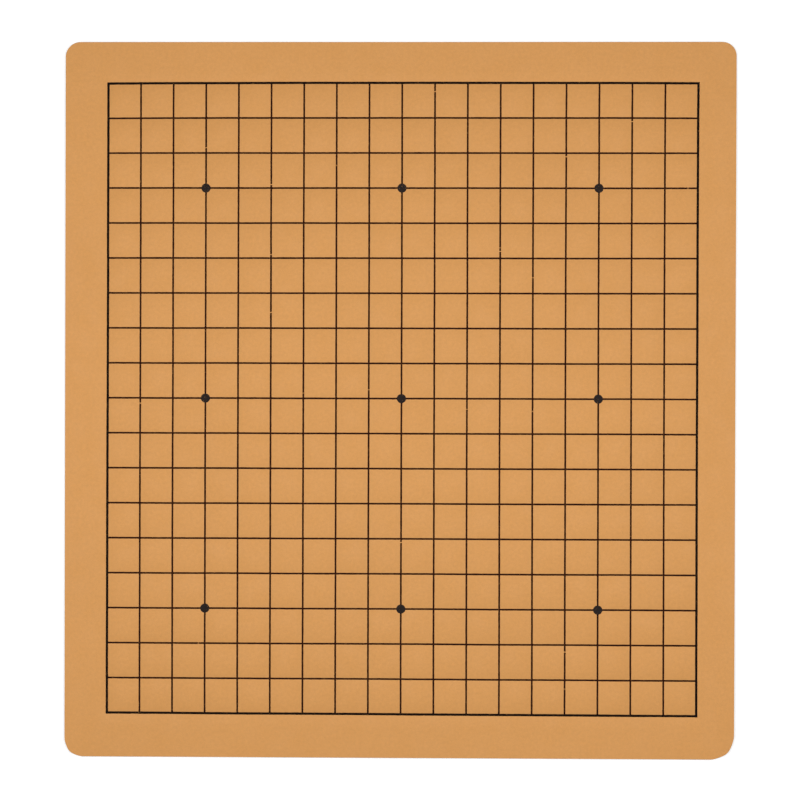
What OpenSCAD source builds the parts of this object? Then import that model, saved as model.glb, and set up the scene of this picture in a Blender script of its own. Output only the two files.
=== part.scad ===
// Roll-up board for the game of Go. A leatherette face, made of a
// polyurethane film on a carrier cloth, and a suede back are glued to a thin
// stiffening core, and all plies are cut together as one sheet. The ruled
// grid is pressed into the film, so the print lies level with the surface.
// The origin is the middle of the underside. X runs left to right, Y from
// the front edge to the back edge, and Z up out of the playing side.

/* [Grid] */
// Number of lines each way
line_count = 19; // [9:2:19]
// Spacing of the lines that run front to back
column_pitch = 22; // [18:0.5:26]
// Spacing of the lines that run left to right, longer by one part in 14
row_pitch = 23.57; // [18:0.01:28]
// Width of the inner lines
line_w = 1.2; // [0.6:0.1:2]
// Width of the outer line round the grid
border_w = 1.6; // [0.6:0.1:3]
// Diameter of the star points
star_d = 6.2; // [3:0.1:8]
// Line that carries the corner star points, counted from the outer line as 1
star_line_number = 4; // [3:1:4]

/* [Margins] */
// Left margin, from the middle of the outer line to the cut edge
margin_left = 28.9; // [20:0.1:60]
// Right margin
margin_right = 25.6; // [20:0.1:60]
// Back margin
margin_back = 27.5; // [20:0.1:60]
// Front margin
margin_front = 29.4; // [20:0.1:60]

/* [Corners] */
// Radius of the back left corner, each corner being rounded by hand
corner_back_left = 10; // [3:0.5:25]
// Radius of the back right corner
corner_back_right = 9.5; // [3:0.5:25]
// Radius of the front left corner
corner_front_left = 12.5; // [3:0.5:25]
// Radius of the front right corner
corner_front_right = 16; // [3:0.5:25]

/* [Plies] */
// Thickness of the suede on the underside
suede_t = 0.4; // [0.2:0.05:1]
// Thickness of each glue film
glue_t = 0.05; // [0.03:0.01:0.15]
// Thickness of the stiffening core
core_t = 0.7; // [0.3:0.05:3]
// Thickness of the cloth that carries the film
cloth_t = 0.5; // [0.2:0.05:1]
// Thickness of the polyurethane film
film_t = 0.3; // [0.2:0.05:0.6]
// Depth of the print in the film
print_t = 0.06; // [0.03:0.01:0.15]

/* [Hidden] */

// How far a cutting shape runs past the face that it cuts
past = 1;

// Grid, from middle to middle of its outer lines
grid_w = (line_count - 1) * column_pitch;
grid_l = (line_count - 1) * row_pitch;

// The sheet, and where the middle of the grid lies on it
board_w = grid_w + margin_left + margin_right;
board_l = grid_l + margin_back + margin_front;
grid_x = (margin_left - margin_right) / 2;
grid_y = (margin_front - margin_back) / 2;

// Underside of each ply, and the top of the sheet
lower_glue_z = suede_t;
core_z = lower_glue_z + glue_t;
upper_glue_z = core_z + core_t;
cloth_z = upper_glue_z + glue_t;
film_z = cloth_z + cloth_t;
top_z = film_z + film_t;
print_z = top_z - print_t;

// Lines that hold star points: near one side, in the middle, near the other
star_lines = [star_line_number - 1, (line_count - 1) / 2, line_count - star_line_number];

// Place of a line, counted from 0 at the left or the front of the grid
function column_x(i) = grid_x + i * column_pitch - grid_w / 2;
function row_y(i) = grid_y + i * row_pitch - grid_l / 2;

// Sign of X, sign of Y and radius of each corner of the sheet
corners = [[-1, 1, corner_back_left], [1, 1, corner_back_right],
           [-1, -1, corner_front_left], [1, -1, corner_front_right]];

// The square piece of sheet outside a corner's round, at the corner
module corner_waste(corner) {
    side_x = corner[0];
    side_y = corner[1];
    r = corner[2];
    translate([side_x * (board_w / 2 - r), side_y * (board_l / 2 - r)])
        difference() {
            translate([side_x > 0 ? 0 : -r - past, side_y > 0 ? 0 : -r - past])
                square(r + past);
            circle(r, $fn = 64);
        }
}

// Outline that all plies are cut to
module sheet_outline() {
    difference() {
        square([board_w, board_l], center = true);
        for (corner = corners)
            corner_waste(corner);
    }
}

module ply(z, thickness) {
    translate([0, 0, z])
        linear_extrude(thickness)
            sheet_outline();
}

module star_shapes() {
    for (i = star_lines, j = star_lines)
        translate([column_x(i), row_y(j)])
            circle(d = star_d, $fn = 48);
}

module border_shape() {
    translate([grid_x, grid_y])
        difference() {
            square([grid_w + border_w, grid_l + border_w], center = true);
            square([grid_w - border_w, grid_l - border_w], center = true);
        }
}

// The inner lines both ways, drawn from middle to middle of the outer lines
module line_shapes() {
    for (i = [1 : line_count - 2]) {
        translate([column_x(i), grid_y])
            square([line_w, grid_l], center = true);
        translate([grid_x, row_y(i)])
            square([grid_w, line_w], center = true);
    }
}

module printed(thickness) {
    translate([0, 0, print_z])
        linear_extrude(thickness)
            children();
}

// Brushed microfibre suede that grips the table
module back_suede() {
    color("#8a6a4a") ply(0, suede_t);
}

module lower_glue() {
    color("#d8cfae") ply(lower_glue_z, glue_t);
}

// Bonded leather fibre, which makes the sheet lie flat
module core_sheet() {
    color("#6f4f33") ply(core_z, core_t);
}

module upper_glue() {
    color("#d8cfae") ply(upper_glue_z, glue_t);
}

// Woven cloth under the film
module face_cloth() {
    color("#c9b08a") ply(cloth_z, cloth_t);
}

// Tan film of the playing side, with the bed that the print is pressed into
module face_film() {
    color("#d69b5d")
        difference() {
            ply(film_z, film_t);
            printed(print_t + past) {
                border_shape();
                line_shapes();
                star_shapes();
            }
        }
}

module border_line() {
    color("#2b211c") printed(print_t) border_shape();
}

// Both sets of inner lines, which end at the outer line and at the star points
module grid_lines() {
    color("#2b211c")
        printed(print_t)
            difference() {
                line_shapes();
                border_shape();
                star_shapes();
            }
}

module star_points() {
    color("#2b211c") printed(print_t) star_shapes();
}

back_suede();
lower_glue();
core_sheet();
upper_glue();
face_cloth();
face_film();
border_line();
grid_lines();
star_points();
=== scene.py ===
# Playing sheet for the game of Go: a leatherette face and a suede back glued to a thin fibre core,
# cut out with rounded corners, with the ruled grid and its star points printed into the face.
# Lengths are metres unless a name says otherwise. X runs to the right, Y to the back edge, Z up.

import bpy
import numpy as np
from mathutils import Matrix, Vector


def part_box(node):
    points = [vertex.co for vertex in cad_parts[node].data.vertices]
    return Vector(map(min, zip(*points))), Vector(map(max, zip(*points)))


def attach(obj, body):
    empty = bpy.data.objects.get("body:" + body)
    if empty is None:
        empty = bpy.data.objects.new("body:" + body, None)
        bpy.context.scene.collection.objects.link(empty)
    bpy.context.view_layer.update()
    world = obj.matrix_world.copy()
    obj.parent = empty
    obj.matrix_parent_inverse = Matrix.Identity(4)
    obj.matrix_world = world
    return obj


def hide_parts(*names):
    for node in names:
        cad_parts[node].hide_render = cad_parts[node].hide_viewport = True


bl_info = {
    "name": "Go playing sheet",
    "version": (1, 0, 0),
    "blender": (4, 5, 0),
    "location": "3D Viewport > Sidebar > Go Sheet",
    "description": "Builds a laminated leatherette playing sheet with a printed Go grid",
    "category": "Add Mesh",
}

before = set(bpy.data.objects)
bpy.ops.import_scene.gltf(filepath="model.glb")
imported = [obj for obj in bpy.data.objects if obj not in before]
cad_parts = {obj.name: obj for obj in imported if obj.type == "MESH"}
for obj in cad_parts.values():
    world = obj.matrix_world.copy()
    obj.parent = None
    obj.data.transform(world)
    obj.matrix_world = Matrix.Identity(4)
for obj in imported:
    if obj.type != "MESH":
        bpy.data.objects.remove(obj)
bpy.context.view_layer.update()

MM = 0.001
MICRON = 0.001 * MM
BODY = "root"
DISTANCE = {"subtype": "DISTANCE", "unit": "LENGTH", "precision": 5}

FILM_LOW, FILM_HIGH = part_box("face_film")
BORDER_LOW, BORDER_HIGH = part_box("border_line")
STARS_LOW, STARS_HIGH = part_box("star_points")
HALF_W = (FILM_HIGH.x - FILM_LOW.x) / 2
HALF_L = (FILM_HIGH.y - FILM_LOW.y) / 2
TOP = FILM_HIGH.z
GRID_X = (BORDER_LOW.x + BORDER_HIGH.x) / 2
GRID_Y = (BORDER_LOW.y + BORDER_HIGH.y) / 2

# The two long waves of the lying sheet: how many crests each has in a ripple length along X and
# along Y, and its start in radians
RIPPLES = ((0.8, 0.5, 0.7), (0.3735, -0.6225, 2.1))

# How far inside the cut a ply has points, in millimetres
CUT_INSETS = (0, 0.4, 1, 1.8, 2.8, 4, 5.4, 7, 8.8, 11, 13.5, 16, 20)

# Edges sharper than this many degrees stay sharp
SHARP_ANGLE = 50

# Width of the camera's sensor, in millimetres
SENSOR_MM = 36.0

# Where the ink skipped: which line that runs front to back, counted from 0 at the left, and how
# many spaces from the back edge of the grid
LONG_BREAKS = (
    (1, 9.15), (5, 2.9), (5, 6.55), (9, 13.1), (10, 0.25), (12, 4.8), (14, 2.1), (14, 16.2),
    (16, 1.1))
SHORT_BREAKS = (
    (3, 1.85), (5, 4.9), (6, 8.85), (7, 2.35), (8, 8.75), (11, 9.3), (12, 4.7), (13, 5.55),
    (13, 9.35), (14, 17.25))

# Which line that runs left to right, counted from 0 at the back, and how many spaces from the left
ROW_BREAKS = ((3, 17.7), (16, 2.8))


def linear(hex_colour):
    """Linear RGBA of an sRGB hex colour."""
    srgb = np.array([int(hex_colour[i:i + 2], 16) for i in (1, 3, 5)]) / 255
    rgb = np.where(srgb <= 0.04045, srgb / 12.92, ((srgb + 0.055) / 1.055) ** 2.4)
    return (*rgb.tolist(), 1.0)


def length(name, description, default, **more):
    """A length property, in metres."""
    return bpy.props.FloatProperty(
        name=name, description=description, default=default, min=0, **DISTANCE, **more)


def colour(name, description, hex_colour):
    """A colour property, in linear RGBA."""
    return bpy.props.FloatVectorProperty(
        name=name, description=description, default=linear(hex_colour),
        subtype="COLOR", size=4, min=0, max=1)


def off_square(name, x_mm, y_mm):
    """A property for how far a corner was cut from its square place, in X and Y."""
    return bpy.props.FloatVectorProperty(
        name=name, description="How far it was cut from its square place", size=2,
        default=(x_mm * MM, y_mm * MM), subtype="TRANSLATION", precision=5)


def node_points(node):
    """The points of a CAD node."""
    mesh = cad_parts[node].data
    points = np.empty(3 * len(mesh.vertices), np.float32)
    mesh.vertices.foreach_get("co", points)
    return points.reshape(-1, 3).astype(float)


def corner_radius(side_x, side_y):
    """How far before the corner the straight side of the CAD sheet ends."""
    points = node_points("face_film") * (side_x, side_y, 1)
    straight = points[points[:, 0] > HALF_W - MICRON]
    return HALF_L - straight[:, 1].max()


def drawn_width(node, first):
    """Width of a drawn line. Its left side is number first, counted from 0, of the X places
    where the CAD node has points, each taken to a micrometre."""
    places = np.unique(np.round(node_points(node)[:, 0], 6))
    return places[first + 1] - places[first]


class SheetSizes(bpy.types.PropertyGroup):
    """How the sheet is cut and how it lies."""
    back_left: length("Back left corner", "Its radius", corner_radius(-1, 1))
    back_right: length("Back right corner", "Its radius", corner_radius(1, 1))
    front_left: length("Front left corner", "Its radius", corner_radius(-1, -1))
    front_right: length("Front right corner", "Its radius", corner_radius(1, -1))
    snip: bpy.props.FloatProperty(
        name="Corner snips", subtype="FACTOR", default=0.022, min=0, max=0.1, precision=3,
        description="How far a front corner stands out where its snips meet, to its radius")
    back_left_off: off_square("Back left off square", -0.1, 0.07)
    back_right_off: off_square("Back right off square", 0.2, -0.2)
    front_left_off: off_square("Front left off square", 0.3, -0.3)
    front_right_off: off_square("Front right off square", -0.22, 0.35)
    face_round: length("Face edge", "Round that the die presses on the film's edge", 0.22 * MM)
    back_round: length("Back edge", "Round on the suede's edge", 0.15 * MM)
    cloth_step: length("Cloth step", "How far the cloth stands back at the cut", 0.06 * MM)
    glue_step: length("Glue step", "How far the glue stands back at the cut", 0.09 * MM)
    ripple: length("Ripple", "Height of the long shallow waves in the lying sheet", 0.28 * MM)
    ripple_length: length("Ripple length", "Distance between two crests", 190 * MM)
    edge_lift: length("Edge lift", "How far the rolled-up sides stay off the table", 0.35 * MM)
    fade: length("Fade", "How far inside the cut its strays have faded out", 20 * MM)


class PrintSizes(bpy.types.PropertyGroup):
    """The ruled grid."""
    line_count: bpy.props.IntProperty(
        name="Lines", description="Number of lines each way", default=19, min=9)
    line_width: length("Line", "Width of an inner line", drawn_width("grid_lines", 1))
    border_width: length("Outer line", "Its width", drawn_width("border_line", 0))
    star_size: length("Star point", "Diameter of a star point", 6.2 * MM)
    press_depth: length("Press depth", "How deep the lines are pressed in", 0.06 * MM)
    ink_below: length("Ink level", "How far the ink lies below the face", 0.012 * MM)
    star_proud: length("Star level", "How far a star point stands over the face", 0.012 * MM)
    star_overlap: length("Star overlap", "How far lines run in under a star point", 0.6 * MM)
    shoulder: length("Shoulder", "Width of the slope beside a pressed line", 0.12 * MM)
    bow: length("Bow", "How far the ends of the back line bow to the front", 0.43 * MM)
    lean: length("Lean", "How far the back right corner of the grid leans out", 0.37 * MM)
    drift: length("Drift", "How far a line strays from its place", 0.07 * MM)
    ragged: length("Ragged edge", "How far the ink creeps along the nap", 0.035 * MM)
    long_break: length("Long break", "Length of a long break in the ink", 0.55 * MM)
    short_break: length("Short break", "Length of a short break in the ink", 0.35 * MM)


class Finishes(bpy.types.PropertyGroup):
    """Colours of the materials."""
    face: colour("Leatherette", "Tan polyurethane film", "#DA9B56")
    cloth: colour("Carrier cloth", "Unbleached polyester and cotton", "#D3B488")
    core: colour("Core", "Bonded leather fibre", "#7A5636")
    glue: colour("Glue", "Dried contact adhesive", "#D9C28C")
    suede: colour("Suede", "Brushed microfibre", "#8F6B48")
    line_ink: colour("Line ink", "Brown-black screen ink", "#280E05")
    border_ink: colour("Outer line ink", "The same ink laid on thicker", "#0E0603")
    # The star ink is the line ink turned greyer: a painted sheen of the thicker, glossier ink that
    # lies proud
    star_ink_and_sheen: colour("Star ink", "The same ink, greyer where it lies proud", "#27201E")


class Studio(bpy.types.PropertyGroup):
    """Camera and lamps, as over a copy stand."""
    lens_mm: bpy.props.FloatProperty(
        name="Lens", description="Focal length", default=90.0, unit="CAMERA")
    camera_place: bpy.props.FloatVectorProperty(
        name="Camera", description="Place of the camera", subtype="TRANSLATION",
        default=(0.02943, 0.00064, 1.34546))
    camera_turn: bpy.props.FloatVectorProperty(
        name="Camera turn", description="Turn of the camera", subtype="EULER",
        default=np.radians((-0.0237, 1.2258, 0.1658)).tolist())
    lamp_place: bpy.props.FloatVectorProperty(
        name="Right lamp", subtype="TRANSLATION", default=(0.42, 0.0, 0.9),
        description="Place of the right lamp. The left one stands opposite")
    lamp_size: length("Lamp size", "Side of each softbox", 0.5)
    lamp_watts: bpy.props.FloatProperty(
        name="Lamp", description="Power of each of the two lamps", default=4.85, unit="POWER")
    room_light: bpy.props.FloatProperty(
        name="Room light", description="Even light from all round", default=0.15)
    table_reach: length("Table", "How far the table top reaches each way", 6.0)
    table_glow: bpy.props.FloatProperty(
        name="Table glow", default=0.4,
        description="How far the table glows to the eye beside the sheet")


def settings():
    """The scene's property groups: sizes of the sheet, of the print, colours and studio."""
    scene = bpy.context.scene
    return scene.go_sheet, scene.go_print, scene.go_finishes, scene.go_studio


def grid_lines_at(sizes):
    """X of the lines that run front to back, and Y of those that run left to right."""
    width = BORDER_HIGH.x - BORDER_LOW.x - sizes.border_width
    depth = BORDER_HIGH.y - BORDER_LOW.y - sizes.border_width
    steps = np.linspace(-0.5, 0.5, sizes.line_count)
    return GRID_X + steps * width, GRID_Y + steps * depth


def resting_height(x, y):
    """How far the lying sheet stands off the table: two long waves that cross at a slant,
    ripple * (2 + sin a + sin b) / 4, and the sides that were rolled up, lift * (x / half)^6."""
    sheet = bpy.context.scene.go_sheet
    turn = 2 * np.pi / sheet.ripple_length
    waves = sum(np.sin(turn * (along_x * x + along_y * y) + start)
                for along_x, along_y, start in RIPPLES)
    return sheet.ripple * (2 + waves) / 4 + sheet.edge_lift * (x / HALF_W) ** 6


def inside(x, y):
    """0 at the cut, rising evenly to 1 at the fade distance inside it and beyond."""
    inset = np.minimum(HALF_W - np.abs(x), HALF_L - np.abs(y))
    return np.clip(inset / bpy.context.scene.go_sheet.fade, 0, 1)


def cut_stray(x, y):
    """How far the cut strays from the square in X and Y: the four corners' own amounts, each
    weighted by its share (1 +- x / half) * (1 +- y / half) / 4. It fades out further inside."""
    sheet = bpy.context.scene.go_sheet
    right = (1 + x / HALF_W) / 2
    back = (1 + y / HALF_L) / 2
    corners = ((sheet.front_left_off, (1 - right) * (1 - back)),
               (sheet.front_right_off, right * (1 - back)),
               (sheet.back_left_off, (1 - right) * back), (sheet.back_right_off, right * back))
    near = 1 - inside(x, y)
    return [near * sum(off[axis] * share for off, share in corners) for axis in (0, 1)]


def sheet_plan(x, y, grow=0.0):
    """Bends a rectangle's points to the sheet's outline, moved out by grow. With p and q from
    0 to 1 across a corner's square, the point goes to p * sqrt(1 - q^2 / 2) and
    q * sqrt(1 - p^2 / 2) of the radius, which turns the square into a quarter disc. The front
    corners were trimmed with two snips each, which adds to their radius at the angle a
    snip * radius * (sin(2 a)^2 - sin(4 a)^2)."""
    sheet = bpy.context.scene.go_sheet
    back = np.where(x > 0, sheet.back_right, sheet.back_left)
    front = np.where(x > 0, sheet.front_right, sheet.front_left)
    radius = np.where(y > 0, back, front)
    inner_x = HALF_W - radius
    inner_y = HALF_L - radius
    p = np.clip((np.abs(x) - inner_x) / radius, 0, 1)
    q = np.clip((np.abs(y) - inner_y) / radius, 0, 1)
    disc_x = p * np.sqrt(1 - q * q / 2)
    disc_y = q * np.sqrt(1 - p * p / 2)
    angle = np.arctan2(disc_y, disc_x)
    snips = sheet.snip * (y < 0) * (np.sin(2 * angle) ** 2 - np.sin(4 * angle) ** 2)
    reach = radius * (1 + snips) + grow
    out_x = np.minimum(np.abs(x), inner_x) + reach * disc_x
    out_y = np.minimum(np.abs(y), inner_y) + reach * disc_y
    stray = cut_stray(x, y)
    return np.sign(x) * out_x + stray[0], np.sign(y) * out_y + stray[1]


def edge_samples(half):
    """Sample places near both edges, closer together towards the cut."""
    inset = np.array(CUT_INSETS) * MM
    return np.r_[-half + inset, half - inset]


def plain_samples(half, lines):
    """Samples for a plain ply: the edges, each line and the middle of each space."""
    middles = (lines[1:] + lines[:-1]) / 2
    return merged(edge_samples(half), lines, middles)


def pressed_samples(half, lines, sizes):
    """Samples for the face: the foot and the top of each pressed line's shoulders too."""
    widths = line_widths(sizes)
    foot = widths / 2
    brow = foot + sizes.shoulder
    middles = (lines[1:] + lines[:-1]) / 2
    return merged(edge_samples(half), lines - brow, lines - foot, lines + foot, lines + brow,
                  middles)


def line_widths(sizes):
    """Width of each line, the two outer ones being heavier."""
    widths = np.full(sizes.line_count, sizes.line_width)
    widths[[0, -1]] = sizes.border_width
    return widths


def pressed(x, y, sizes):
    """How deep the face is pressed in: full depth under a line, a straight slope on each
    shoulder, none elsewhere. The deeper of the two directions counts at a crossing."""
    columns, rows = grid_lines_at(sizes)
    widths = line_widths(sizes)

    def share(at, lines, along, ends):
        off = np.abs(at[..., None] - lines) - widths / 2
        across = np.clip(1 - off / sizes.shoulder, 0, 1).max(-1)
        past = np.maximum(ends[0] - along, along - ends[-1]) - sizes.border_width / 2
        return across * np.clip(1 - past / sizes.shoulder, 0, 1)

    deep = np.maximum(share(x, columns, y, rows), share(y, rows, x, columns))
    return sizes.press_depth * deep


def press_stray(x, y):
    """How far the print strays in X and Y near the back edge, as the film gave in the press.
    u goes from -1 to 1 across the print and v from 0 to 1 from its front to its back. The right
    half leans out by lean * u * v^8, and the ends of the lines bow to the front by
    bow * u^2 * v^8. Towards the cut both fall to nothing."""
    sizes = bpy.context.scene.go_print
    u = (x - GRID_X) / (BORDER_HIGH.x - GRID_X)
    v = np.clip((y - BORDER_LOW.y) / (BORDER_HIGH.y - BORDER_LOW.y), 0, 1)
    give = v ** 8 * inside(x, y)
    return sizes.lean * np.maximum(u, 0) * give, -sizes.bow * u ** 2 * give


def quad_mesh(name, points, quads, material):
    """An object at the origin whose faces are rows of four point numbers. Points that no face
    uses are left out."""
    used, quads = np.unique(quads, return_inverse=True)
    quads = quads.reshape(-1, 4)
    mesh = bpy.data.meshes.new(name)
    mesh.vertices.add(len(used))
    mesh.vertices.foreach_set("co", points[used].astype(np.float32).ravel())
    mesh.loops.add(quads.size)
    mesh.loops.foreach_set("vertex_index", quads.astype(np.int32).ravel())
    mesh.polygons.add(len(quads))
    mesh.polygons.foreach_set("loop_start", np.arange(0, quads.size, 4, dtype=np.int32))
    mesh.update(calc_edges=True)
    mesh.validate()
    mesh.materials.append(material)
    piece = bpy.data.objects.new(name, mesh)
    bpy.context.scene.collection.objects.link(piece)
    return piece


def grid_quads(index):
    """The quads of a grid of point numbers whose rows go back and columns go right."""
    quads = [index[:-1, :-1], index[:-1, 1:], index[1:, 1:], index[1:, :-1]]
    return np.stack(quads, -1).reshape(-1, 4)


def rim(index):
    """Point numbers round the edge of a grid, anticlockwise from above."""
    return np.r_[index[0, :-1], index[:-1, -1], index[-1, :0:-1], index[:0:-1, 0]]


def ring_quads(upper, lower):
    """The quads of the outward wall between two closed rings."""
    quads = [upper, lower, np.roll(lower, -1), np.roll(upper, -1)]
    return np.stack(quads, -1).reshape(-1, 4)


def smooth_by_angle(piece):
    """Shades the piece smooth, all but its sharp edges."""
    mesh = piece.data
    mesh.polygons.foreach_set("use_smooth", np.ones(len(mesh.polygons), bool))
    mesh.set_sharp_from_angle(angle=np.radians(SHARP_ANGLE))


def ply(name, node, material, x, y, edge, dent=None):
    """One ply of the sheet. The top and the bottom are grids of the sheet's plan, and edge is
    the profile of the cut, as pairs of outward offset and depth under the top, carried round
    the outline. dent gives the depth of the pressed lines in the top, if there are any."""
    low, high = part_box(node)
    grid_x, grid_y = np.meshgrid(x, y)

    def level(z, grow, depth=0.0):
        plan_x, plan_y = sheet_plan(grid_x, grid_y, grow)
        height = z + resting_height(plan_x, plan_y) - depth
        lean, bow = press_stray(plan_x, plan_y)
        return np.stack([plan_x + lean, plan_y + bow, height], -1).reshape(-1, 3)

    index = np.arange(grid_x.size).reshape(grid_x.shape)
    depth = dent(grid_x, grid_y) if dent else 0.0
    top = level(high.z, edge[0][0], depth)
    bottom = level(low.z, edge[-1][0])
    points = [top]
    quads = [grid_quads(index)]
    ring = rim(index)
    upper = ring
    used = len(top)
    for grow, fall in edge[1:-1]:
        points.append(level(high.z - fall, grow)[ring])
        lower = used + np.arange(len(ring))
        quads.append(ring_quads(upper, lower))
        upper = lower
        used += len(ring)
    points.append(bottom)
    quads.append(ring_quads(upper, used + ring))
    quads.append(grid_quads(used + index)[:, ::-1])
    piece = quad_mesh(name, np.concatenate(points), np.concatenate(quads), material)
    smooth_by_angle(piece)
    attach(piece, BODY)
    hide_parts(node)
    return piece


def round_over(radius, thickness, steps=5):
    """Profile of a cut edge whose top corner is a quarter round and whose side is upright."""
    angle = np.linspace(0, np.pi / 2, steps)
    arc = np.c_[radius * (np.sin(angle) - 1), radius * (1 - np.cos(angle))]
    return [*map(tuple, arc), (0.0, thickness)]


def node_adder(tree):
    """A function that adds a shader node to the tree. A value whose key is one of the node's
    own properties is set there, and any other goes to the input of that name or number. A link
    comes from an output, or from the first output of a node."""

    def add(kind, values=None, links=None):
        node = tree.nodes.new("ShaderNode" + kind)
        for key, value in (values or {}).items():
            if isinstance(key, str) and hasattr(node, key):
                setattr(node, key, value)
            else:
                node.inputs[key].default_value = value
        for key, source in (links or {}).items():
            output = source.outputs[0] if isinstance(source, bpy.types.Node) else source
            tree.links.new(output, node.inputs[key])
        return node

    return add


def new_material(name):
    """An empty node material, the function that adds to it, and its object coordinates."""
    material = bpy.data.materials.new(name)
    material.use_nodes = True
    material.node_tree.nodes.clear()
    add = node_adder(material.node_tree)
    return material, add, add("TexCoord").outputs["Object"]


def patches(add, where, size, detail, low, high):
    """Soft irregular patches about size metres across, as a number from low to high."""
    noise = add("TexNoise", {"Scale": 1 / size, "Detail": detail, "Roughness": 0.55},
                {"Vector": where})
    return add("MapRange", {"From Min": 0.3, "From Max": 0.7, "To Min": low, "To Max": high},
               {"Value": noise})


def grain_relief(add, where):
    """Relief of embossed kidskin grain, 0 in the creases and 1 on the pebbles. The real grain
    is about 0.35 mm wide and is drawn at 0.6 mm, so that it shows from arm's length."""
    bend = add("TexNoise", {"Scale": 1 / (2.4 * MM), "Detail": 1.0}, {"Vector": where})
    shifted = add("VectorMath", {"operation": "MULTIPLY_ADD", 1: (0.9 * MM,) * 3},
                  {0: bend.outputs["Color"], 2: where})
    cells = add("TexVoronoi", {"feature": "DISTANCE_TO_EDGE", "Scale": 1 / (0.6 * MM)},
                {"Vector": shifted})
    return add("MapRange", {"interpolation_type": "SMOOTHSTEP", "From Max": 0.32},
               {"Value": cells})


def leatherette(colours):
    """Polyurethane film, embossed and matted: an even tan with a faint cloudy tone, a fine kidskin
    grain whose creases are darkened a little as painted shade, and a low, wide shine."""
    material, add, where = new_material("polyurethane_leatherette_embossed")
    grain = grain_relief(add, where)
    cloudy = patches(add, where, 90 * MM, 2.0, 0.988, 1.012)
    mottled = patches(add, where, 2.2 * MM, 3.0, 0.964, 1.036)
    # Painted shade: the grain's creases darken the tan to 0.93, the pebbles stay near 1
    crease_shade = add("MapRange", {"To Min": 0.93, "To Max": 1.012}, {"Value": grain})
    uneven = add("Math", {"operation": "MULTIPLY"}, {0: cloudy, 1: mottled})
    tone = add("Math", {"operation": "MULTIPLY"}, {0: uneven, 1: crease_shade})
    paint = add("VectorMath", {"operation": "SCALE", 0: colours.face[:3]}, {"Scale": tone})
    matt = patches(add, where, 12 * MM, 2.0, 0.6, 0.72)
    relief = add("Bump", {"Distance": 0.03 * MM}, {"Height": grain})
    film = add("BsdfPrincipled",
               {"Specular IOR Level": 0.35, "Sheen Weight": 0.08, "Sheen Roughness": 0.5},
               {"Base Color": paint, "Roughness": matt, "Normal": relief})
    add("OutputMaterial", None, {"Surface": film})
    return material


def screen_ink(name, ink, face):
    """Solvent screen ink on grained film: brown-black and matt, a shade uneven, with the
    grain showing through and pinholes of bare film where the ink missed."""
    material, add, where = new_material(name)
    grain = grain_relief(add, where)
    missed = add("TexNoise", {"Scale": 1 / (0.45 * MM), "Detail": 1.0}, {"Vector": where})
    bare = add("MapRange", {"From Min": 0.73, "From Max": 0.76}, {"Value": missed})
    mixed = add("Mix", {"data_type": "RGBA", 6: ink, 7: face}, {0: bare})
    tone = patches(add, where, 5 * MM, 2.0, 0.85, 1.15)
    paint = add("VectorMath", {"operation": "SCALE"}, {0: mixed.outputs[2], "Scale": tone})
    relief = add("Bump", {"Distance": 0.02 * MM}, {"Height": grain})
    coat = add("BsdfPrincipled", {"Roughness": 0.7, "Specular IOR Level": 0.05},
               {"Base Color": paint, "Normal": relief})
    add("OutputMaterial", None, {"Surface": coat})
    return material


def carrier_cloth(colours):
    """Plain woven polyester and cotton, seen at the cut: pale yarn ends 0.4 mm apart."""
    material, add, where = new_material("woven_polyester_cotton_cloth")
    yarns = add("TexVoronoi", {"Scale": 1 / (0.4 * MM)}, {"Vector": where})
    tone = add("MapRange", {"To Min": 1.08, "To Max": 0.72}, {"Value": yarns})
    paint = add("VectorMath", {"operation": "SCALE", 0: colours.cloth[:3]}, {"Scale": tone})
    relief = add("Bump", {"Distance": 0.08 * MM}, {"Height": yarns})
    cloth = add("BsdfPrincipled",
                {"Roughness": 0.9, "Specular IOR Level": 0.2, "Sheen Weight": 0.3},
                {"Base Color": paint, "Normal": relief})
    add("OutputMaterial", None, {"Surface": cloth})
    return material


def bonded_fibre(colours):
    """Leather fibre bonded with latex and cut clean: brown with paler and darker flecks."""
    material, add, where = new_material("bonded_leather_fibre")
    flecks = patches(add, where, 0.5 * MM, 4.0, 0.7, 1.3)
    paint = add("VectorMath", {"operation": "SCALE", 0: colours.core[:3]}, {"Scale": flecks})
    relief = add("Bump", {"Distance": 0.04 * MM}, {"Height": flecks})
    fibre = add("BsdfPrincipled", {"Roughness": 0.85, "Specular IOR Level": 0.25},
                {"Base Color": paint, "Normal": relief})
    add("OutputMaterial", None, {"Surface": fibre})
    return material


def contact_glue(colours):
    """Dried contact adhesive: a thin yellowish line, a little shiny and uneven."""
    material, add, where = new_material("dried_contact_adhesive")
    tone = patches(add, where, 1.5 * MM, 2.0, 0.75, 1.1)
    paint = add("VectorMath", {"operation": "SCALE", 0: colours.glue[:3]}, {"Scale": tone})
    glue = add("BsdfPrincipled", {"Roughness": 0.4}, {"Base Color": paint})
    add("OutputMaterial", None, {"Surface": glue})
    return material


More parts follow.
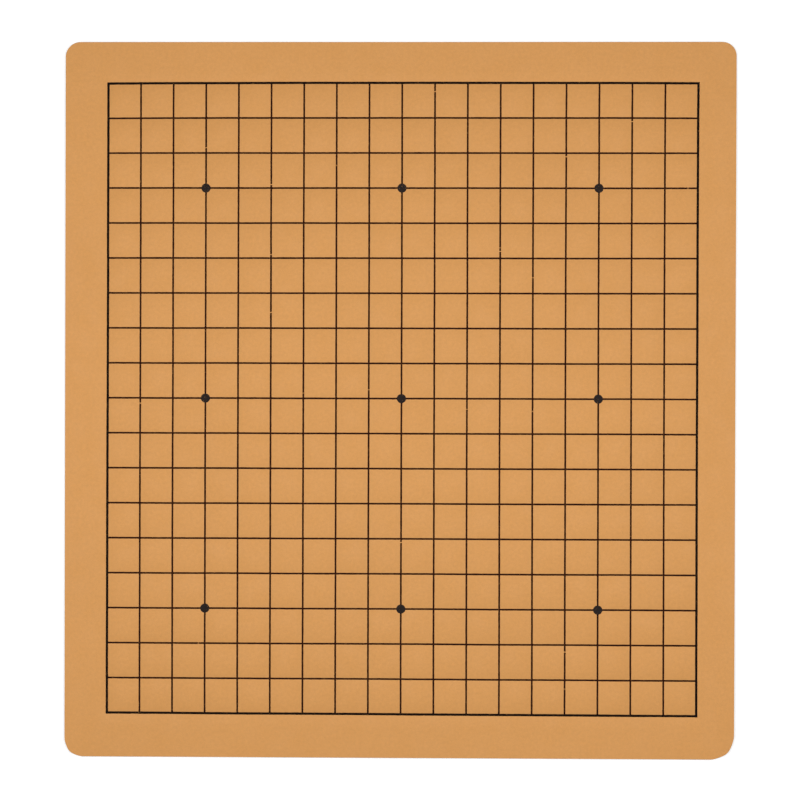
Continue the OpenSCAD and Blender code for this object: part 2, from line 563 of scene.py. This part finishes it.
def brushed_suede(colours):
    """Brushed polyester microfibre: a short nap that lies in hand-long strokes, with painted sheen
    and shade in long patches, lighter where the nap would lean one way and darker where it would
    lean the other, with fibre ends 0.3 mm apart."""
    material, add, where = new_material("brushed_microfibre_suede")
    wiped = add("Mapping", {"Rotation": (0, 0, 0.5), "Scale": (0.6, 1.3, 1.0)},
                {"Vector": where})
    # Painted sheen and shade: stretched patches, lighter and darker, stand in for the light on the
    # nap's lean
    nap_sheen_strokes = patches(add, wiped, 45 * MM, 4.0, 0.84, 1.12)
    fibres = patches(add, where, 0.3 * MM, 3.0, 0.74, 1.2)
    tone = add("Math", {"operation": "MULTIPLY"}, {0: nap_sheen_strokes, 1: fibres})
    paint = add("VectorMath", {"operation": "SCALE", 0: colours.suede[:3]}, {"Scale": tone})
    relief = add("Bump", {"Distance": 0.12 * MM}, {"Height": fibres})
    nap = add("BsdfPrincipled",
              {"Roughness": 0.95, "Specular IOR Level": 0.15, "Sheen Weight": 0.6,
               "Sheen Roughness": 0.35, "Sheen Tint": colours.cloth},
              {"Base Color": paint, "Normal": relief})
    add("OutputMaterial", None, {"Surface": nap})
    return material


def ink_shell(name, node, x, y, inked, stray, sizes, material):
    """A thin closed shell of ink over the inked spaces of a grid. The top lies a little under
    the face, the bottom in the foot of the pressed line, and an upright wall stands
    wherever an inked space meets a bare one. stray shifts each grid point."""
    grid_x, grid_y = np.meshgrid(x, y)
    rest = resting_height(grid_x, grid_y) + TOP
    lean, bow = press_stray(grid_x, grid_y)
    grid_x = grid_x + stray[0] + lean
    grid_y = grid_y + stray[1] + bow
    top = np.stack([grid_x, grid_y, rest - sizes.ink_below], -1).reshape(-1, 3)
    foot = np.stack([grid_x, grid_y, rest - sizes.press_depth], -1).reshape(-1, 3)
    index = np.arange(grid_x.size).reshape(grid_x.shape)
    under = index + grid_x.size
    quads = [grid_quads(index)[inked.ravel()], grid_quads(under)[inked.ravel()][:, ::-1]]

    # For each side of a space: is its neighbour inked, and where does the wall start and end
    padded = np.pad(inked, 1)
    sides = [(padded[:-2, 1:-1], (0, 0), (0, 1)), (padded[1:-1, 2:], (0, 1), (1, 1)),
             (padded[2:, 1:-1], (1, 1), (1, 0)), (padded[1:-1, :-2], (1, 0), (0, 0))]
    for neighbour, start, end in sides:
        rows, columns = np.nonzero(inked & ~neighbour)
        a = index[rows + start[0], columns + start[1]]
        b = index[rows + end[0], columns + end[1]]
        lower_a = under[rows + start[0], columns + start[1]]
        lower_b = under[rows + end[0], columns + end[1]]
        quads.append(np.stack([a, lower_a, lower_b, b], -1))
    piece = quad_mesh(name, np.concatenate([top, foot]), np.concatenate(quads), material)
    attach(piece, BODY)
    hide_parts(node)
    return piece


def strip_samples(lines, widths, across=3, between=8):
    """Samples through each line's width and through the space to the next line."""
    low = lines - widths / 2
    high = lines + widths / 2
    in_lines = low + (high - low) * np.linspace(0, 1, across + 1)[:, None]
    in_spaces = high[:-1] + (low[1:] - high[:-1]) * np.linspace(0, 1, between + 1)[1:-1, None]
    return np.sort(np.concatenate([in_lines.ravel(), in_spaces.ravel()]))


def merged(*places):
    """All sample places in order, each once, to a tenth of a micrometre."""
    return np.unique(np.round(np.concatenate(places), 7))


def within_lines(samples, lines, widths):
    """Which spaces between samples lie within a line."""
    middles = (samples[1:] + samples[:-1]) / 2
    return (np.abs(middles[:, None] - lines) < widths / 2).any(1)


def wander(shape, spacing, seed):
    """Smooth random numbers from -1 to 1 on a grid of this shape. Random knots, spacing
    samples apart each way, are joined by half cosine waves."""
    rows, columns = shape
    knots = np.random.default_rng(seed).uniform(
        -1, 1, (rows // spacing + 2, columns // spacing + 2))

    def joined(values, count):
        at = np.arange(count) / spacing
        first = at.astype(int)
        ease = (0.5 - 0.5 * np.cos(np.pi * (at - first)))[:, None]
        return values[first] * (1 - ease) + values[first + 1] * ease

    down = joined(knots, rows)
    return joined(down.T, columns).T


def ink_stray(shape, sizes, slow_knots=23, seed=40):
    """How far each grid point of the ink strays in X and Y: a slow drift, as the film gives
    under the screen, with slow_knots samples from knot to knot, and a quick creep of the ink's
    edge along the grain, with a knot at every sample."""
    slow = [wander(shape, slow_knots, seed + n) for n in (0, 1)]
    quick = [wander(shape, 1, seed + n) for n in (2, 3)]
    return [sizes.drift * a + sizes.ragged * b for a, b in zip(slow, quick)]


def ink_breaks(sizes):
    """Left, right, front and back of each break in the ink, as wide as its line."""
    columns, rows = grid_lines_at(sizes)
    half = line_widths(sizes) / 2
    long, short = sizes.long_break / 2, sizes.short_break / 2
    found = []
    for reach, places in ((long, LONG_BREAKS), (short, SHORT_BREAKS)):
        for line, spaces in places:
            x, y = columns[line], rows[-1] - spaces * (rows[1] - rows[0])
            found.append((x - half[line], x + half[line], y - reach, y + reach))
    for line, spaces in ROW_BREAKS:
        x, y = columns[0] + spaces * (columns[1] - columns[0]), rows[-1 - line]
        found.append((x - short, x + short, y - half[line], y + half[line]))
    return np.array(found)


def star_places(sizes):
    """Middles of the nine star points, from the box of the CAD model's star points."""
    radius = sizes.star_size / 2
    x = np.linspace(STARS_LOW.x + radius, STARS_HIGH.x - radius, 3)
    y = np.linspace(STARS_LOW.y + radius, STARS_HIGH.y - radius, 3)
    return np.stack(np.meshgrid(x, y), -1).reshape(-1, 2)


def inked_spaces(x, y, sizes):
    """Which spaces between the samples hold the ink of the outer line, and which that of the
    inner lines, which stop at the outer line, at the star points and at the breaks."""
    columns, rows = grid_lines_at(sizes)
    widths = line_widths(sizes)
    outer = (within_lines(x, columns[[0, -1]], widths[[0, -1]])[None, :]
             | within_lines(y, rows[[0, -1]], widths[[0, -1]])[:, None])
    inner = (within_lines(x, columns[1:-1], widths[1:-1])[None, :]
             | within_lines(y, rows[1:-1], widths[1:-1])[:, None]) & ~outer
    middle_x = (x[1:] + x[:-1]) / 2
    middle_y = (y[1:] + y[:-1]) / 2
    for star_x, star_y in star_places(sizes):
        off = np.hypot(middle_x[None, :] - star_x, middle_y[:, None] - star_y)
        inner &= off > sizes.star_size / 2 - sizes.star_overlap
    for left, right, front, back in ink_breaks(sizes):
        across = (middle_x > left) & (middle_x < right)
        along = (middle_y > front) & (middle_y < back)
        inner &= ~(across[None, :] & along[:, None])
    return outer, inner


def ruled_ink(name, node, which, ink):
    """The ink of the outer line, where which is 0, or of the inner lines, where it is 1."""
    _, sizes, colours, _ = settings()
    columns, rows = grid_lines_at(sizes)
    widths = line_widths(sizes)
    reach = sizes.star_size / 2 - sizes.star_overlap
    starred = star_places(sizes)
    stops = np.concatenate([starred - reach, starred + reach])
    breaks = ink_breaks(sizes)
    x = merged(strip_samples(columns, widths), stops[:, 0], breaks[:, :2].ravel())
    y = merged(strip_samples(rows, widths), stops[:, 1], breaks[:, 2:].ravel())
    inked = inked_spaces(x, y, sizes)[which]
    stray = ink_stray((len(y), len(x)), sizes)
    material = screen_ink(name + "_screen_ink", ink, colours.face)
    return ink_shell(name, node, x, y, inked, stray, sizes, material)


def middle_ply(name, node, material, step):
    """A ply between face and back, cut square, that stands back by step at the cut."""
    _, sizes, _, _ = settings()
    columns, rows = grid_lines_at(sizes)
    low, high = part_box(node)
    edge = [(-step, 0.0), (-step, high.z - low.z)]
    piece = ply(name, node, material, plain_samples(HALF_W, columns),
                plain_samples(HALF_L, rows), edge)
    return piece


class GOSHEET_OT_back_suede(bpy.types.Operator):
    """Suede of the underside, with its lower edge rounded"""
    bl_idname = "gosheet.back_suede"
    bl_label = "Suede Back"

    def execute(self, context):
        sheet, sizes, colours, _ = settings()
        columns, rows = grid_lines_at(sizes)
        low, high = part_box("back_suede")
        thick = high.z - low.z

        # The round of a top edge, turned upside down
        rounded = reversed(round_over(sheet.back_round, thick))
        edge = [(grow, thick - fall) for grow, fall in rounded]
        piece = ply("suede_back", "back_suede", brushed_suede(colours),
                    plain_samples(HALF_W, columns), plain_samples(HALF_L, rows), edge)
        return {"FINISHED"}


class GOSHEET_OT_glue_films(bpy.types.Operator):
    """The two glue films, a little short of the cut"""
    bl_idname = "gosheet.glue_films"
    bl_label = "Glue Films"

    def execute(self, context):
        sheet, _, colours, _ = settings()
        glue = contact_glue(colours)
        middle_ply("glue_under_core", "lower_glue", glue, sheet.glue_step)
        middle_ply("glue_over_core", "upper_glue", glue, sheet.glue_step)
        return {"FINISHED"}


class GOSHEET_OT_core_sheet(bpy.types.Operator):
    """Core of bonded leather fibre"""
    bl_idname = "gosheet.core_sheet"
    bl_label = "Fibre Core"

    def execute(self, context):
        _, _, colours, _ = settings()
        core = middle_ply("fibre_core", "core_sheet", bonded_fibre(colours), 0.0)
        return {"FINISHED"}


class GOSHEET_OT_carrier_cloth(bpy.types.Operator):
    """Woven cloth that carries the film"""
    bl_idname = "gosheet.carrier_cloth"
    bl_label = "Carrier Cloth"

    def execute(self, context):
        sheet, _, colours, _ = settings()
        cloth = middle_ply("carrier_cloth", "face_cloth", carrier_cloth(colours),
                           sheet.cloth_step)
        return {"FINISHED"}


class GOSHEET_OT_face_film(bpy.types.Operator):
    """Leatherette film of the playing side, with the lines pressed in"""
    bl_idname = "gosheet.face_film"
    bl_label = "Leatherette Face"

    def execute(self, context):
        sheet, sizes, colours, _ = settings()
        columns, rows = grid_lines_at(sizes)
        piece = ply("leatherette_face", "face_film", leatherette(colours),
                    pressed_samples(HALF_W, columns, sizes),
                    pressed_samples(HALF_L, rows, sizes),
                    round_over(sheet.face_round, FILM_HIGH.z - FILM_LOW.z),
                    lambda x, y: pressed(x, y, sizes))
        return {"FINISHED"}


class GOSHEET_OT_outer_line(bpy.types.Operator):
    """Ink of the heavier outer line"""
    bl_idname = "gosheet.outer_line"
    bl_label = "Outer Line"

    def execute(self, context):
        _, _, colours, _ = settings()
        piece = ruled_ink("outer_line", "border_line", 0, colours.border_ink)
        return {"FINISHED"}


class GOSHEET_OT_inner_lines(bpy.types.Operator):
    """Ink of the inner lines, one net that is open at the star points"""
    bl_idname = "gosheet.inner_lines"
    bl_label = "Inner Lines"

    def execute(self, context):
        _, _, colours, _ = settings()
        piece = ruled_ink("inner_lines", "grid_lines", 1, colours.line_ink)
        return {"FINISHED"}


def star_discs(sizes, across=25):
    """Points and quads of the star points. A square of u and v from -1 to 1 becomes a disc of
    u * sqrt(1 - v^2 / 2), v * sqrt(1 - u^2 / 2). Its edge creeps out and in with the sum of
    two waves round the disc, and the top falls off with the sixth power of the radius."""
    u, v = np.meshgrid(*[np.linspace(-1, 1, across)] * 2)
    disc_x = u * np.sqrt(1 - v * v / 2)
    disc_y = v * np.sqrt(1 - u * u / 2)
    share = np.hypot(disc_x, disc_y)
    angle = np.arctan2(disc_y, disc_x)
    index = np.arange(u.size).reshape(u.shape)
    points = []
    quads = []
    used = 0
    for number, (star_x, star_y) in enumerate(star_places(sizes)):
        creep = np.sin(7 * angle + number) + np.sin(11 * angle + 2 * number)
        radius = (sizes.star_size + sizes.ragged * creep * share) / 2
        x = star_x + radius * disc_x
        y = star_y + radius * disc_y
        face = TOP + resting_height(x, y)
        lean, bow = press_stray(x, y)
        x = x + lean
        y = y + bow
        crown = face + sizes.star_proud * (1 - 0.8 * share ** 6)
        for z in (crown, face - sizes.press_depth):
            points.append(np.stack([x, y, z], -1).reshape(-1, 3))
        under = used + u.size
        ring = rim(index)
        quads += [grid_quads(used + index), grid_quads(under + index)[:, ::-1],
                  ring_quads(used + ring, under + ring)]
        used += 2 * u.size
    return np.concatenate(points), np.concatenate(quads)


class GOSHEET_OT_star_points(bpy.types.Operator):
    """Ink of the nine star points, each a low dome with a creeping edge"""
    bl_idname = "gosheet.star_points"
    bl_label = "Star Points"

    def execute(self, context):
        _, sizes, colours, _ = settings()
        material = screen_ink("star_screen_ink", colours.star_ink_and_sheen, colours.face)
        piece = quad_mesh("star_points_ink", *star_discs(sizes), material)
        smooth_by_angle(piece)
        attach(piece, BODY)
        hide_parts("star_points")
        return {"FINISHED"}


def seen_directly(add):
    """1 for a ray from the camera, or off or through something shiny, and 0 for the rays that
    carry light to the sheet."""
    rays = add("LightPath")
    sight = add("Math", {"operation": "MAXIMUM"},
                {0: rays.outputs["Is Camera Ray"], 1: rays.outputs["Is Glossy Ray"]})
    return add("Math", {"operation": "MAXIMUM"},
               {0: sight, 1: rays.outputs["Is Transmission Ray"]})


def white_table(studio):
    """Matt white table top. It takes the sheet's shadow, and a glow that lights nothing lifts
    it to the white of the background, from little beside the sheet to all of it further off."""
    material, add, where = new_material("white_matt_table_laminate")
    paint = add("BsdfDiffuse", {"Color": linear("#E6E6E6")})
    away = add("VectorMath", {"operation": "LENGTH"}, {0: where})
    level = add("MapRange", {"From Min": 0.3, "From Max": 0.75, "To Min": studio.table_glow},
                {"Value": away.outputs["Value"]})
    seen = add("Math", {"operation": "MULTIPLY"}, {0: level, 1: seen_directly(add)})
    glow = add("Emission", {"Color": (1, 1, 1, 1)}, {"Strength": seen})
    both = add("AddShader", None, {0: paint, 1: glow})
    add("OutputMaterial", None, {"Surface": both})
    return material


def room(strength):
    """World that shines evenly on the sheet and looks white."""
    world = bpy.data.worlds.new("room")
    world.use_nodes = True
    world.node_tree.nodes.clear()
    add = node_adder(world.node_tree)
    level = add("MapRange", {"To Min": strength, "To Max": 1.0}, {"Value": seen_directly(add)})
    shine = add("Background", {"Color": (1, 1, 1, 1)}, {"Strength": level})
    add("OutputWorld", None, {"Surface": shine})
    bpy.context.scene.world = world


def lamp(name, place, size, watts):
    """A square softbox, aimed at the middle of the sheet."""
    light = bpy.data.lights.new(name, "AREA")
    light.energy = watts
    light.size = size
    lit = bpy.data.objects.new(name, light)
    lit.location = place
    lit.rotation_euler = (-lit.location).to_track_quat("-Z", "Y").to_euler()
    lit.visible_camera = False
    bpy.context.scene.collection.objects.link(lit)


class GOSHEET_OT_studio(bpy.types.Operator):
    """White table, two softboxes as at a copy stand, and the camera above"""
    bl_idname = "gosheet.studio"
    bl_label = "Studio"

    def execute(self, context):
        _, _, _, studio = settings()
        x, y = np.meshgrid(*[(-studio.table_reach, studio.table_reach)] * 2)
        points = np.stack([x, y, 0 * x], -1).reshape(-1, 3)
        table = quad_mesh("table_top", points, np.array([[0, 1, 3, 2]]), white_table(studio))
        room(studio.room_light)
        aside, along, height = studio.lamp_place
        lamp("left_softbox", (-aside, along, height), studio.lamp_size, studio.lamp_watts)
        lamp("right_softbox", (aside, along, height), studio.lamp_size, studio.lamp_watts)
        camera = bpy.data.objects.new("camera", bpy.data.cameras.new("camera"))
        camera.data.lens = studio.lens_mm
        camera.data.sensor_width = SENSOR_MM
        camera.location = studio.camera_place
        camera.rotation_euler = studio.camera_turn
        context.scene.collection.objects.link(camera)
        context.scene.camera = camera
        context.scene.view_settings.view_transform = "Standard"
        return {"FINISHED"}


STEPS = ("back_suede", "glue_films", "core_sheet", "carrier_cloth", "face_film",
         "outer_line", "inner_lines", "star_points", "studio")


class GOSHEET_PT_steps(bpy.types.Panel):
    """The pieces in the order they are glued and printed, and the studio"""
    bl_label = "Go Sheet"
    bl_idname = "GOSHEET_PT_steps"
    bl_space_type = "VIEW_3D"
    bl_region_type = "UI"
    bl_category = "Go Sheet"

    def draw(self, context):
        for step in STEPS:
            self.layout.operator("gosheet." + step)
        for group in settings():
            box = self.layout.box()
            for name in group.__annotations__:
                box.prop(group, name)


GROUPS = {"go_sheet": SheetSizes, "go_print": PrintSizes, "go_finishes": Finishes,
          "go_studio": Studio}
CLASSES = (
    *GROUPS.values(), GOSHEET_OT_back_suede, GOSHEET_OT_glue_films, GOSHEET_OT_core_sheet,
    GOSHEET_OT_carrier_cloth, GOSHEET_OT_face_film, GOSHEET_OT_outer_line,
    GOSHEET_OT_inner_lines, GOSHEET_OT_star_points, GOSHEET_OT_studio, GOSHEET_PT_steps)


def register():
    for cls in CLASSES:
        bpy.utils.register_class(cls)
    for name, group in GROUPS.items():
        setattr(bpy.types.Scene, name, bpy.props.PointerProperty(type=group))


def unregister():
    for name in GROUPS:
        delattr(bpy.types.Scene, name)
    for cls in reversed(CLASSES):
        bpy.utils.unregister_class(cls)


def main():
    register()
    for step in STEPS:
        getattr(bpy.ops.gosheet, step)()


if __name__ == "__main__":
    main()
